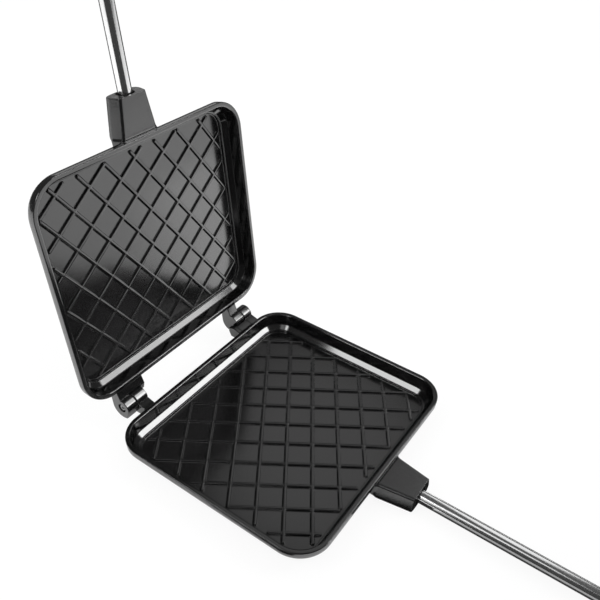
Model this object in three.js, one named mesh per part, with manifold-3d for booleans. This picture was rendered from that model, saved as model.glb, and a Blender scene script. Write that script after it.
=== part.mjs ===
// Hinged sandwich maker for the hob: two ribbed pans, each with a rod handle and half of a round grip.
// Millimetres, +Z up. The lower pan lies on its underside at z = 0, centred on the origin,
// its handle runs towards -Y and the hinge runs along X behind the pan. The upper pan stands open.

import * as THREE from 'three';
import { mergeVertices } from 'three/addons/utils/BufferGeometryUtils.js';
import Module from 'manifold-3d';

const wasm = await Module();
wasm.setup();

// Driving sizes
const panWidth = 148;
const panLength = 131.3;
const panDepth = 14.8;
const cornerRadius = 18.5;
const rodDiameter = 7.4;
const bareRodLength = 104;
const gripLength = 118;
const openAngle = THREE.MathUtils.degToRad(97.1);

// Clearances
const fitGap = 0.3;
const cutOverrun = 1;
const weldOverlap = 1;

// Rim and outer band
const rimLand = 2.3;
const rimInnerRound = 0.5;
const rimOuterRound = 0.4;
const bandHeight = 4.15;
const bandStep = 0.25;
const bandStepDrop = 2;

// Outer wall and underside
const wallSlope = THREE.MathUtils.degToRad(31);
const footInset = 10.5;

// Inside of the tray
const innerDraft = THREE.MathUtils.degToRad(10);
const footSlopeDepth = 7.2;
const footSlope = THREE.MathUtils.degToRad(43);
const ledgeDepth = 9.8;
const ledgeWidth = 0.75;
const floorDepth = 11.2;
const stepRun = 0.35;

// Diamond ribs
const ribPitch = 14.55;
const ribAngle = THREE.MathUtils.degToRad(34.2);
const ribBaseWidth = 2.2;
const ribTopWidth = 1.3;
const ribHeight = 1.15;
const ribEndInset = 9.8;
const shortestRib = 5;

// Hinge, measured from the rim plane and the back edge of the rim
const hingeSetback = 10;
const hingeRise = 1.3;
const knuckleRadius = 5.2;
const lugRadius = 7.3;
const stopFlatAngle = THREE.MathUtils.degToRad(115);
const lugEdge = 0.45;
const hingeSideInset = 18.1;
const outerKnuckleWidth = 7.2;
const innerKnuckleWidth = 7.8;
const knuckleGap = 0.4;
const cheekGap = 0.4;
const cheekWidth = 3.4;
const cheekReach = 1.3;
const cheekChamfer = { forward: 1.8, back: 3.6 };
const pinRadius = 1.8;
const pinBore = 1;
const pinSlit = 0.7;
const pinRecess = 0.5;
const pinBlindWall = 0.8;
const counterboreRadius = 2.8;
const counterboreDepth = 1;

// Rod socket of the casting
const socketLength = 20.8;
const socketFaceDrop = 3.1;
const rodDrop = 9;
const socketUnderside = 0.3;
const socketRootTop = 11.3;
const socketRootSide = 13.4;
const socketEndTop = 8.6;
const socketEndSide = 10.3;
const socketFlare = 1;
const socketFlareLength = 1.8;
const socketRootLift = 5;
const socketRootReach = { face: 1.4, back: 4.2 };
const socketEdge = 0.5;
const socketRoundPower = 0.6;
const socketRootMidShare = 0.5;
const socketBoreDepth = 17.5;
const socketMouthRadius = 4.8;
const socketMouthDepth = 1.3;
const socketPinRadius = 1.5;
const socketPinBore = 0.8;
const socketPinSlit = 0.6;
const socketPinPlace = 9;
const socketPinRecess = 0.4;

// Tube, its core and the ferrule
const tubeWall = 0.8;
const rodInGrip = 80;
const coreLength = 64;
const screwFromCoreEnd = { front: 6, rear: 22 };
const ferruleRadius = 5.5;
const ferruleLength = 3;
const spigotRadius = 4.7;
const spigotLength = 4;

// Grip
const gripFaceDrop = 0.3;
const gripFloorGap = 0.4;
const gripHalfWidth = 12.4;
const gripEdge = 1.2;
const hangHoleRadius = 4.4;
const hangHolePlace = 11;
const screwHeadRadius = 3.1;
const screwHeadHeight = 1.8;
const screwCrown = 0.6;
const screwHeadSink = 0.3;
const screwRadius = 1.6;
const screwPastAxis = 1.6;
const screwSlotWidth = 0.8;
const screwSlotDepth = 0.9;
const screwSlotLength = 4;

// Locking bail
const bailWire = 1.2;
const bailPivotDrop = 7;
const bailStub = 5;
const bailBend = 3;
const bailStubBend = 2.4;
const bailRestGap = 0.3;

// Smoothness
const cornerSteps = 8;
const arcSteps = 6;
const halfTurnSteps = 12;
const roundSides = 24;
const smallBoreSides = 16;
const wireSides = 8;
const wireSteps = 36;
const samePoint = 1e-5;
const parallelLimit = 1e-9;

// Places that follow from the sizes
const halfWidth = panWidth / 2;
const halfLength = panLength / 2;
const axisY = halfLength + hingeSetback;
const axisZ = panDepth + hingeRise;
const rodRadius = rodDiameter / 2;
const rodZ = panDepth - rodDrop;
const socketEndY = -halfLength - socketLength;
const gripFrontY = socketEndY - bareRodLength;
const gripRearY = gripFrontY - gripLength;
const coreFrontPlace = rodInGrip - coreLength;
const screwPlaces = {
  front: coreFrontPlace + screwFromCoreEnd.front,
  rear: rodInGrip - screwFromCoreEnd.rear,
};
const gripTopZ = panDepth - gripFaceDrop;
const bailPivotZ = gripTopZ - bailPivotDrop;
const gripBackRadius = 2 * axisZ - bailPivotZ - gripFloorGap;
const gripTailLength = Math.sqrt(gripBackRadius ** 2 - (2 * axisZ - bailPivotZ - gripTopZ) ** 2);
const bailPivotY = gripRearY + gripTailLength;
const bailLeg = gripBackRadius + fitGap + bailWire;
const bailRestAngle = Math.asin((bailPivotZ - bailWire - bailRestGap) / bailLeg);

// Materials
const coating = new THREE.MeshStandardMaterial({ color: 0x1b1b1c, roughness: 0.34, metalness: 0.15 });
const steel = new THREE.MeshStandardMaterial({ color: 0xc9cbcd, roughness: 0.2, metalness: 1 });
const pinSteel = new THREE.MeshStandardMaterial({ color: 0x8f9092, roughness: 0.35, metalness: 1 });
const phenolic = new THREE.MeshStandardMaterial({ color: 0x161617, roughness: 0.5, metalness: 0 });

// Solids

function toSolid(geometry) {
  const bare = geometry.index ? geometry.toNonIndexed() : geometry.clone();
  bare.deleteAttribute('normal');
  bare.deleteAttribute('uv');
  const merged = mergeVertices(bare, samePoint);
  return new wasm.Manifold(new wasm.Mesh({
    numProp: 3,
    vertProperties: new Float32Array(merged.attributes.position.array),
    triVerts: new Uint32Array(merged.index.array),
  }));
}

function toGeometry(solid) {
  const mesh = solid.getMesh();
  const geometry = new THREE.BufferGeometry();
  geometry.setAttribute('position', new THREE.BufferAttribute(new Float32Array(mesh.vertProperties), 3));
  geometry.setIndex(new THREE.BufferAttribute(new Uint32Array(mesh.triVerts), 1));
  geometry.computeVertexNormals();
  return geometry;
}

// A closed skin over rings of points; both end rings are closed with a flat fan.
function loft(rings) {
  const count = rings[0].length;
  const positions = [];
  const push = (...points) => points.forEach((p) => positions.push(p.x, p.y, p.z));
  for (let i = 0; i + 1 < rings.length; i += 1) {
    for (let j = 0; j < count; j += 1) {
      const k = (j + 1) % count;
      push(rings[i][j], rings[i][k], rings[i + 1][k]);
      push(rings[i][j], rings[i + 1][k], rings[i + 1][j]);
    }
  }
  for (const [ring, flip] of [[rings[0], true], [rings.at(-1), false]]) {
    const centre = ring.reduce((sum, p) => sum.add(p), new THREE.Vector3()).divideScalar(count);
    for (let j = 0; j < count; j += 1) {
      const k = (j + 1) % count;
      if (flip) push(centre, ring[k], ring[j]);
      else push(centre, ring[j], ring[k]);
    }
  }
  const geometry = new THREE.BufferGeometry();
  geometry.setAttribute('position', new THREE.Float32BufferAttribute(positions, 3));
  return geometry;
}

function cylinder(radius, length, axis, centre, sides = roundSides) {
  const geometry = new THREE.CylinderGeometry(radius, radius, length, sides);
  if (axis === 'x') geometry.rotateZ(Math.PI / 2);
  if (axis === 'z') geometry.rotateX(Math.PI / 2);
  return geometry.translate(centre.x, centre.y, centre.z);
}

// Extrudes an outline that is drawn in y and z along x, with its edges chamfered.
function plate(points, fromX, toX) {
  const shape = new THREE.Shape(points.map((p) => new THREE.Vector2(p.y, p.z)));
  const geometry = new THREE.ExtrudeGeometry(shape, {
    depth: toX - fromX - 2 * lugEdge,
    bevelThickness: lugEdge,
    bevelSize: lugEdge,
    bevelOffset: -lugEdge,
    bevelSegments: 1,
  });
  geometry.applyMatrix4(new THREE.Matrix4().makeBasis(
    new THREE.Vector3(0, 1, 0),
    new THREE.Vector3(0, 0, 1),
    new THREE.Vector3(1, 0, 0),
  ));
  return geometry.translate(fromX + lugEdge, 0, 0);
}

// Rolled spring pin: a split tube standing along z.
function springPin(radius, bore, slit, length) {
  const shape = new THREE.Shape();
  const outerSlit = Math.asin(slit / 2 / radius);
  const innerSlit = Math.asin(slit / 2 / bore);
  shape.absarc(0, 0, radius, outerSlit, 2 * Math.PI - outerSlit, false);
  shape.absarc(0, 0, bore, 2 * Math.PI - innerSlit, innerSlit, true);
  shape.closePath();
  return new THREE.ExtrudeGeometry(shape, {
    depth: length,
    bevelEnabled: false,
    curveSegments: halfTurnSteps,
  });
}

// Pan casting

// Rounded rectangle that lies inside the rim outline by inset, at height z.
function panRing(inset, z) {
  const radius = Math.max(cornerRadius - inset, rimLand);
  const corners = [[1, 1], [-1, 1], [-1, -1], [1, -1]];
  return corners.flatMap(([sx, sy], turn) => Array.from({ length: cornerSteps + 1 }, (_, i) => {
    const angle = (turn + i / cornerSteps) * Math.PI / 2;
    return new THREE.Vector3(
      sx * (halfWidth - inset - radius) + radius * Math.cos(angle),
      sy * (halfLength - inset - radius) + radius * Math.sin(angle),
      z,
    );
  }));
}

// The section of the wall, from the middle of the underside over the rim to the floor of the tray.
function panProfile() {
  const bandFoot = panDepth - bandHeight;
  const outerWall = new THREE.QuadraticBezierCurve(
    new THREE.Vector2(footInset, 0),
    new THREE.Vector2(bandStep + bandFoot * Math.tan(wallSlope), 0),
    new THREE.Vector2(bandStep, bandFoot),
  );
  const wallTop = rimLand + rimInnerRound;
  const slopeTop = wallTop + (footSlopeDepth - rimInnerRound) * Math.tan(innerDraft);
  const slopeFoot = slopeTop + (ledgeDepth - footSlopeDepth) / Math.tan(footSlope);
  const ledgeInset = slopeFoot + ledgeWidth;
  return [
    ...outerWall.getPoints(arcSteps).map((p) => [p.x, p.y]),
    [bandStep, panDepth - bandStepDrop - bandStep],
    [0, panDepth - bandStepDrop],
    [0, panDepth - rimOuterRound],
    [rimOuterRound, panDepth],
    [rimLand, panDepth],
    [wallTop, panDepth - rimInnerRound],
    [slopeTop, panDepth - footSlopeDepth],
    [slopeFoot, panDepth - ledgeDepth],
    [ledgeInset, panDepth - ledgeDepth],
    [ledgeInset + stepRun, panDepth - floorDepth],
  ];
}

// Where the line through a point crosses a convex outline, as the two distances along the line.
function spanInside(outline, point, direction) {
  let from = -Infinity;
  let to = Infinity;
  outline.forEach((a, i) => {
    const b = outline[(i + 1) % outline.length];
    const normal = new THREE.Vector2(a.y - b.y, b.x - a.x);
    const ahead = normal.dot(direction);
    const inside = normal.x * (point.x - a.x) + normal.y * (point.y - a.y);
    if (Math.abs(ahead) < parallelLimit) return;
    if (ahead > 0) from = Math.max(from, -inside / ahead);
    else to = Math.min(to, -inside / ahead);
  });
  return { from, to };
}

function rib(start, length, angle) {
  const floorZ = panDepth - floorDepth;
  const half = ribBaseWidth / 2;
  const halfTop = ribTopWidth / 2;
  const shape = new THREE.Shape([
    new THREE.Vector2(-half, floorZ - weldOverlap),
    new THREE.Vector2(half, floorZ - weldOverlap),
    new THREE.Vector2(half, floorZ),
    new THREE.Vector2(halfTop, floorZ + ribHeight),
    new THREE.Vector2(-halfTop, floorZ + ribHeight),
    new THREE.Vector2(-half, floorZ),
  ]);
  const geometry = new THREE.ExtrudeGeometry(shape, { depth: length, bevelEnabled: false });
  geometry.rotateX(Math.PI / 2).rotateZ(angle + Math.PI / 2);
  return geometry.translate(start.x, start.y, 0);
}

// Two families of parallel ribs cross at right angles, with one crossing at the middle of the tray.
function ribs() {
  const outline = panRing(ribEndInset, 0);
  const reach = Math.ceil(Math.hypot(halfWidth, halfLength) / ribPitch);
  const solids = [];
  for (const angle of [ribAngle, ribAngle - Math.PI / 2]) {
    const along = new THREE.Vector2(Math.cos(angle), Math.sin(angle));
    const across = new THREE.Vector2(-along.y, along.x);
    for (let i = -reach; i <= reach; i += 1) {
      const foot = across.clone().multiplyScalar(i * ribPitch);
      const { from, to } = spanInside(outline, foot, along);
      if (to - from >= shortestRib) {
        const start = foot.clone().addScaledVector(along, from);
        solids.push(toSolid(rib(start, to - from, angle)));
      }
    }
  }
  return solids;
}

// A point of the hinge section: forward is towards the pan, back is away from the tray's open side.
const hingePoint = (forward, back) => new THREE.Vector3(0, axisY - forward, axisZ - back);
const hingePolar = (radius, angle) => hingePoint(radius * Math.cos(angle), radius * Math.sin(angle));

function hingeArc(radius, fromAngle, toAngle, steps) {
  return Array.from({ length: steps + 1 }, (_, i) => {
    return hingePolar(radius, fromAngle + (toAngle - fromAngle) * i / steps);
  });
}

const lugRootForward = hingeSetback + rimLand;
const lugFace = [hingePoint(lugRootForward, hingeRise), hingePoint(hingeSetback, hingeRise)];

// Section of a lug of the lower pan: a plain knuckle that widens into the underside of the lug.
function plainSection() {
  const blend = Array.from({ length: arcSteps }, (_, i) => {
    const angle = Math.PI - (i + 1) / arcSteps * Math.PI / 2;
    return hingePoint(knuckleRadius * Math.cos(angle), lugRadius * Math.sin(angle));
  });
  return [
    ...lugFace,
    ...hingeArc(knuckleRadius, 0, -Math.PI, halfTurnSteps),
    ...blend,
    hingePoint(lugRootForward, lugRadius),
  ];
}

// Section of a lug of the upper pan, whose flat meets the web of the lower pan when open.
function stopSection() {
  const cornerAngle = stopFlatAngle + Math.acos(knuckleRadius / lugRadius);
  return [
    ...lugFace,
    ...hingeArc(knuckleRadius, 0, -stopFlatAngle, halfTurnSteps),
    ...hingeArc(lugRadius, 2 * Math.PI - cornerAngle, Math.PI / 2, arcSteps),
    hingePoint(lugRootForward, lugRadius),
  ];
}

// Section of the web between the knuckle and the cheek, hollowed for the other pan's knuckle.
// Its face stops where the other pan's lug comes down to fitGap above it, when closed.
function webSection() {
  const faceGap = fitGap / 2;
  const faceEnd = knuckleRadius + (hingeSetback - knuckleRadius) * faceGap / hingeRise;
  const hollow = knuckleRadius + fitGap;
  const stopAngle = stopFlatAngle - openAngle;
  const slide = (lugRadius - hollow * Math.sin(stopAngle)) / Math.cos(stopAngle);
  const stopEnd = hingePoint(hollow * Math.cos(stopAngle) - slide * Math.sin(stopAngle), lugRadius);
  return [
    ...lugFace,
    hingePoint(faceEnd, faceGap),
    hingePolar(hollow, stopAngle),
    stopEnd,
    hingePoint(lugRootForward, lugRadius),
  ];
}

// Section of the cheek that covers the inner end of the other pan's knuckle.
function cheekSection() {
  return [
    ...lugFace,
    hingePoint(knuckleRadius, 0),
    hingePoint(cheekReach, hingeRise),
    hingePoint(cheekReach, lugRadius - cheekChamfer.back),
    hingePoint(cheekReach + cheekChamfer.forward, lugRadius),
    hingePoint(lugRootForward, lugRadius),
  ];
}

const hingeOuterX = halfWidth - hingeSideInset;
const outerKnuckleX = hingeOuterX - outerKnuckleWidth;
const innerKnuckleOuterX = outerKnuckleX - knuckleGap;
const innerKnuckleInnerX = innerKnuckleOuterX - innerKnuckleWidth;
const cheekOuterX = innerKnuckleInnerX - cheekGap;
const pinBlindX = innerKnuckleInnerX + pinBlindWall;

function hingeLugs(section) {
  return [
    plate(section, outerKnuckleX, hingeOuterX),
    plate(webSection(), cheekOuterX - weldOverlap, outerKnuckleX + weldOverlap),
    plate(cheekSection(), cheekOuterX - cheekWidth, cheekOuterX),
    plate(section, -innerKnuckleOuterX, -innerKnuckleInnerX),
  ].map(toSolid);
}

function hingeBores() {
  const boreRadius = pinRadius + fitGap;
  const outerLength = outerKnuckleWidth + 2 * cutOverrun;
  const blindLength = innerKnuckleOuterX - pinBlindX + cutOverrun;
  const centre = (x) => new THREE.Vector3(x, axisY, axisZ);
  return [
    cylinder(boreRadius, outerLength, 'x', centre(hingeOuterX - outerKnuckleWidth / 2)),
    cylinder(counterboreRadius, 2 * counterboreDepth, 'x', centre(hingeOuterX)),
    cylinder(boreRadius, blindLength, 'x', centre(-pinBlindX - blindLength / 2)),
  ].map(toSolid);
}

// Flat-faced section of the socket; its back is half an ellipse, squared up by socketRoundPower.
function socketRing(halfTop, halfSide, bottom, placeY) {
  const top = panDepth - socketFaceDrop;
  const waist = rodZ;
  const back = Array.from({ length: halfTurnSteps + 1 }, (_, i) => {
    const angle = i * Math.PI / halfTurnSteps;
    const across = Math.sign(Math.cos(angle)) * Math.abs(Math.cos(angle)) ** socketRoundPower;
    return { x: -halfSide * across, z: waist - (waist - bottom) * Math.sin(angle) ** socketRoundPower };
  });
  const points = [{ x: halfTop, z: top }, { x: -halfTop, z: top }, ...back];
  return points.map((p) => new THREE.Vector3(p.x, placeY(p.z), p.z));
}

function socket() {
  const top = panDepth - socketFaceDrop;
  const { face, back } = socketRootReach;
  const rootY = (z) => -halfLength + face + (back - face) * (top - z) / (top - socketRootLift);
  const flat = (y) => () => y;
  const flareTop = socketRootTop + socketFlare;
  const flareSide = socketRootSide + socketFlare;
  const flareY = -halfLength - socketFlareLength;
  const midSide = flareSide - socketRootMidShare * socketFlare;
  const midLift = socketRootMidShare * socketRootLift;
  const edgeY = socketEndY + socketEdge;
  const lipTop = socketEndTop - socketEdge;
  const lipSide = socketEndSide - socketEdge;
  return toSolid(loft([
    socketRing(flareTop, flareSide, socketRootLift, rootY),
    socketRing(flareTop, midSide, midLift, flat(-halfLength)),
    socketRing(socketRootTop, socketRootSide, socketUnderside, flat(flareY)),
    socketRing(socketEndTop, socketEndSide, socketUnderside, flat(edgeY)),
    socketRing(lipTop, lipSide, socketUnderside + socketEdge, flat(socketEndY)),
  ]));
}

function socketBores() {
  const boreRadius = rodRadius + fitGap;
  const pinY = socketEndY + socketPinPlace;
  const pinLength = rodZ + cutOverrun;
  const pinBoreRadius = socketPinRadius + fitGap;
  const pinBoreZ = rodZ - pinLength / 2;
  return [
    cylinder(boreRadius, 2 * socketBoreDepth, 'y', new THREE.Vector3(0, socketEndY, rodZ)),
    cylinder(socketMouthRadius, 2 * socketMouthDepth, 'y', new THREE.Vector3(0, socketEndY, rodZ)),
    cylinder(pinBoreRadius, pinLength, 'z', new THREE.Vector3(0, pinY, pinBoreZ), smallBoreSides),
  ].map(toSolid);
}

function panGeometry(lugSection) {
  const shell = toSolid(loft(panProfile().map(([inset, z]) => panRing(inset, z))));
  const added = [socket(), ...hingeLugs(lugSection), ...ribs()];
  const joined = added.reduce((sum, solid) => sum.add(solid), shell);
  const bores = [...socketBores(), ...hingeBores()];
  return toGeometry(bores.reduce((sum, solid) => sum.subtract(solid), joined));
}

function hingePin() {
  const length = hingeOuterX - pinRecess - pinBlindX - fitGap;
  const geometry = springPin(pinRadius, pinBore, pinSlit, length);
  geometry.rotateY(Math.PI / 2);
  return geometry.translate(pinBlindX + fitGap, axisY, axisZ);
}

// Handle: everything between the socket and the end of the grip, drawn for the lower pan

function rodGeometry() {
  const startY = socketEndY + socketBoreDepth - fitGap;
  const endY = gripFrontY - rodInGrip;
  const length = startY - endY;
  const inner = rodRadius - tubeWall;
  const profile = [[inner, 0], [rodRadius, 0], [rodRadius, length], [inner, length], [inner, 0]];
  const tube = new THREE.LatheGeometry(profile.map(([r, y]) => new THREE.Vector2(r, y)), roundSides);
  tube.translate(0, endY, rodZ);
  const pinY = socketEndY + socketPinPlace;
  const pinHole = new THREE.Vector3(0, pinY, rodZ - rodRadius);
  const holes = [
    cylinder(socketPinRadius + fitGap, rodRadius, 'z', pinHole, smallBoreSides),
    ...Object.values(screwPlaces).map((place) => {
      const centre = new THREE.Vector3(0, gripFrontY - place, rodZ + rodRadius);
      return cylinder(screwRadius + fitGap, rodRadius, 'z', centre, smallBoreSides);
    }),
  ].map(toSolid);
  return toGeometry(holes.reduce((sum, solid) => sum.subtract(solid), toSolid(tube)));
}

function socketPin() {
  const bottom = socketUnderside + socketPinRecess;
  const pinY = socketEndY + socketPinPlace;
  const geometry = springPin(socketPinRadius, socketPinBore, socketPinSlit, rodZ - fitGap - bottom);
  return geometry.translate(0, pinY, bottom);
}

function coreGeometry() {
  const radius = rodRadius - tubeWall - fitGap;
  const rearY = gripFrontY - rodInGrip;
  const bar = cylinder(radius, coreLength, 'y', new THREE.Vector3(0, rearY + coreLength / 2, rodZ));
  const holes = Object.values(screwPlaces).map((place) => {
    const length = 2 * radius;
    const depth = screwPastAxis + fitGap;
    const centre = new THREE.Vector3(0, gripFrontY - place, rodZ - depth + length / 2);
    return toSolid(cylinder(screwRadius + fitGap, length, 'z', centre, smallBoreSides));
  });
  return toGeometry(holes.reduce((sum, solid) => sum.subtract(solid), toSolid(bar)));
}

function ferruleGeometry() {
  const inner = rodRadius + fitGap;
  const profile = [
    [inner, -spigotLength],
    [spigotRadius, -spigotLength],
    [spigotRadius, fitGap],
    [ferruleRadius, fitGap],
    [ferruleRadius, ferruleLength],
    [inner, ferruleLength],
    [inner, -spigotLength],
  ];
  const geometry = new THREE.LatheGeometry(profile.map(([r, y]) => new THREE.Vector2(r, y)), roundSides);
  return geometry.translate(0, gripFrontY, rodZ);
}

// Half-round section of the grip at one place along it.
function gripRing(y, halfWide, bottom) {
  const shoulder = gripTopZ - gripEdge;
  const waist = Math.min((gripTopZ + bottom) / 2, shoulder);
  const back = Array.from({ length: halfTurnSteps + 1 }, (_, i) => {
    const angle = i * Math.PI / halfTurnSteps;
    return [-halfWide * Math.cos(angle), waist - (waist - bottom) * Math.sin(angle)];
  });
  const points = [
    [halfWide, shoulder],
    [halfWide - gripEdge, gripTopZ],
    [-halfWide + gripEdge, gripTopZ],
    [-halfWide, shoulder],
    ...back,
  ];
  return points.map(([x, z]) => new THREE.Vector3(x, y, z));
}

// Width of the grip along its length, as shares of the length up to the bail's pivot and of the half width.
const gripWidthShares = [
  [0, 0.62],
  [0.02, 0.7],
  [0.12, 0.93],
  [0.35, 1],
  [0.62, 0.92],
  [0.85, 0.95],
  [1, 1],
];

// Width of the tail behind the bail's pivot, as shares of the tail's length and of the half width.
const tailWidthShares = [
  [0.25, 0.99],
  [0.5, 0.93],
  [0.75, 0.78],
  [0.93, 0.55],
];

function gripBody() {
  const straight = gripFrontY - bailPivotY;
  const rings = gripWidthShares.map(([place, wide], i) => {
    const bottom = gripFloorGap + (i === 0 ? gripEdge : 0);
    return gripRing(gripFrontY - place * straight, wide * gripHalfWidth, bottom);
  });
  const arcZ = 2 * axisZ - bailPivotZ;
  tailWidthShares.forEach(([place, wide]) => {
    const back = place * gripTailLength;
    const bottom = arcZ - Math.sqrt(gripBackRadius ** 2 - back ** 2);
    rings.push(gripRing(bailPivotY - back, wide * gripHalfWidth, bottom));
  });
  return toSolid(loft(rings));
}

function gripGeometry() {
  const front = new THREE.Vector3(0, gripFrontY, rodZ);
  const hangHole = new THREE.Vector3(0, gripRearY + hangHolePlace, gripTopZ);
  const bores = [
    cylinder(rodRadius + fitGap, 2 * (rodInGrip + fitGap), 'y', front),
    cylinder(spigotRadius + fitGap, 2 * (spigotLength + fitGap), 'y', front),
    cylinder(hangHoleRadius, 2 * panDepth, 'z', hangHole),
  ];
  const sink = screwHeadHeight + screwHeadSink;
  const shaft = 2 * (gripTopZ - rodZ);
  for (const place of Object.values(screwPlaces)) {
    const top = new THREE.Vector3(0, gripFrontY - place, gripTopZ);
    bores.push(cylinder(screwHeadRadius + fitGap, 2 * sink, 'z', top));
    bores.push(cylinder(screwRadius + fitGap, shaft, 'z', top, smallBoreSides));
  }
  for (const side of [-1, 1]) {
    const centre = new THREE.Vector3(side * gripHalfWidth, bailPivotY, bailPivotZ);
    bores.push(cylinder(bailWire + fitGap, 2 * bailStub, 'x', centre, smallBoreSides));
  }
  return toGeometry(bores.map(toSolid).reduce((sum, solid) => sum.subtract(solid), gripBody()));
}

function gripScrew(place) {
  const topZ = gripTopZ - screwHeadSink;
  const neckZ = topZ - screwHeadHeight;
  const tipZ = rodZ - screwPastAxis;
  const profile = [
    [0, tipZ],
    [screwRadius, tipZ],
    [screwRadius, neckZ],
    [screwHeadRadius, neckZ],
    [screwHeadRadius, topZ - screwCrown],
    [screwHeadRadius - screwCrown, topZ],
    [0, topZ],
  ];
  const screw = new THREE.LatheGeometry(profile.map(([r, z]) => new THREE.Vector2(r, z)), smallBoreSides);
  screw.rotateX(Math.PI / 2);
  const slot = (wide, long) => {
    return toSolid(new THREE.BoxGeometry(wide, long, 2 * screwSlotDepth).translate(0, 0, topZ));
  };
  const cut = toSolid(screw)
    .subtract(slot(screwSlotWidth, screwSlotLength))
    .subtract(slot(screwSlotLength, screwSlotWidth));
  return toGeometry(cut).translate(0, gripFrontY - place, 0);
}

// Wire loop in its own plane: x across the grip, y towards the cross bar, pivot at the origin.
function bailGeometry() {
  const legX = gripHalfWidth + fitGap + bailWire;
  const stubX = legX - bailStub;
  const corner = (x, y) => new THREE.Vector3(x, y, 0);
  const stops = [
    corner(-stubX, 0),
    corner(-legX, 0),
    corner(-legX, bailLeg),
    corner(legX, bailLeg),
    corner(legX, 0),
    corner(stubX, 0),
  ];
  const path = new THREE.CurvePath();
  let last = stops[0];
  for (let i = 1; i + 1 < stops.length; i += 1) {
    const bend = i === 1 || i === stops.length - 2 ? bailStubBend : bailBend;
    const before = stops[i].clone().add(stops[i - 1].clone().sub(stops[i]).setLength(bend));
    const after = stops[i].clone().add(stops[i + 1].clone().sub(stops[i]).setLength(bend));
    path.add(new THREE.LineCurve3(last, before));
    path.add(new THREE.QuadraticBezierCurve3(before, stops[i], after));
    last = after;
  }
  path.add(new THREE.LineCurve3(last, stops.at(-1)));
  const section = new THREE.Shape();
  section.absarc(0, 0, bailWire, 0, 2 * Math.PI, false);
  return new THREE.ExtrudeGeometry(section, {
    extrudePath: path,
    steps: wireSteps,
    curveSegments: wireSides,
    bevelEnabled: false,
  });
}

// Assembly

function named(name, geometry, material) {
  const mesh = new THREE.Mesh(geometry, material);
  mesh.name = name;
  return mesh;
}

const shared = {
  hingePin: hingePin(),
  rod: rodGeometry(),
  socketPin: socketPin(),
  core: coreGeometry(),
  ferrule: ferruleGeometry(),
  grip: gripGeometry(),
  screws: Object.entries(screwPlaces).map(([end, place]) => [end, gripScrew(place)]),
};

// One pan with its handle, as it lies on the underside of its pan.
function half(side, lugSection) {
  const group = new THREE.Group();
  group.add(named(`${side}_pan`, panGeometry(lugSection), coating));
  group.add(named(`${side}_rod`, shared.rod, steel));
  group.add(named(`${side}_socket_pin`, shared.socketPin, pinSteel));
  group.add(named(`${side}_rod_core`, shared.core, pinSteel));
  group.add(named(`${side}_ferrule`, shared.ferrule, steel));
  group.add(named(`${side}_grip`, shared.grip, phenolic));
  for (const [end, geometry] of shared.screws) {
    group.add(named(`${side}_grip_screw_${end}`, geometry, steel));
  }
  return group;
}

const lower = half('lower', plainSection());
lower.add(named('right_hinge_pin', shared.hingePin, pinSteel));

const bail = named('locking_bail', bailGeometry(), steel);
bail.position.set(0, bailPivotY, bailPivotZ);
bail.rotation.set(bailRestAngle, 0, Math.PI);
lower.add(bail);

// The upper half is the same half turned over about Y, then swung open about the hinge.
const upper = half('upper', stopSection());
upper.add(named('left_hinge_pin', shared.hingePin, pinSteel));
const turned = new THREE.Group();
turned.rotation.y = Math.PI;
upper.position.set(0, -axisY, -axisZ);
turned.add(upper);
const lid = new THREE.Group();
lid.position.set(0, axisY, axisZ);
lid.rotation.x = -openAngle;
lid.add(turned);

const group = new THREE.Group();
group.add(lower);
group.add(lid);

export default group;
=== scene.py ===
"""Looks of the hinged sandwich maker: cast pans, steel tubes, grips, pins and the locking bail.

Shapes are drawn in millimetres in the frame of the lower half; the upper half is the same half turned over.
The stage at the end is in metres.
"""

import math

import bmesh
import bpy
from mathutils import Matrix, Quaternion, Vector


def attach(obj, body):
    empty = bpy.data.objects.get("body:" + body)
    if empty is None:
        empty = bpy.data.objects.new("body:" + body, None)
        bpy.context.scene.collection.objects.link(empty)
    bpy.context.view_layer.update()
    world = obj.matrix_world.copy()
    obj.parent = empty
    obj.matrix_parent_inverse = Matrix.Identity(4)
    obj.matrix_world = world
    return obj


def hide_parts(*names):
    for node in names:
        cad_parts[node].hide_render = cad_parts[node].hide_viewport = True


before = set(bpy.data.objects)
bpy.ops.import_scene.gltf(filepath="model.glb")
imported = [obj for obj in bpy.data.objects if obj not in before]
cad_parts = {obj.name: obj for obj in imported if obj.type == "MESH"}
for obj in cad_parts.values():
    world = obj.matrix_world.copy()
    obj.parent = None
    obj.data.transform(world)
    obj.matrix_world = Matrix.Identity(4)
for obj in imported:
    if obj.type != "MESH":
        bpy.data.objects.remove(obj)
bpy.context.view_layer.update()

MM = 0.001
FAR_AWAY = 1e9
PARALLEL = 1e-9
SAME_POINT = 1e-7
SAME_X = 1e-6
SHARP_ANGLE = math.radians(32)

# Pan
HALF_WIDTH = 74.0
HALF_LENGTH = 65.65
PAN_DEPTH = 14.8
CORNER_RADIUS = 18.5
SMALLEST_CORNER = 2.3
CORNER_STEPS = 20
SIDE_STEPS = 6
WALL_STEPS = 14
FOOT_INSET = 10.5
WALL_SLOPE = math.radians(31)
BAND_FOOT = PAN_DEPTH - 4.15
BAND_STEP = 0.25
STEP_Z = PAN_DEPTH - 2.0
RIM_INNER = 2.71
WALL_TOP = 2.8
INNER_DRAFT = math.radians(10)
LEDGE_Z = PAN_DEPTH - 9.8
FLOOR_Z = PAN_DEPTH - 11.2
SLOPE_TOP_Z = PAN_DEPTH - 7.2
SLOPE = math.radians(43)
LEDGE_WIDTH = 0.75
STEP_RUN = 0.35
FLOOR_EDGE = 2.0
RIM_EDGE_DEPTH = 0.5
STEP_RISE = 0.25
STEP_ROUND = {"low": 0.2, "high": 0.15}
RIM_ROUND = {"outer": 0.45, "inner": 1.1}
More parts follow.
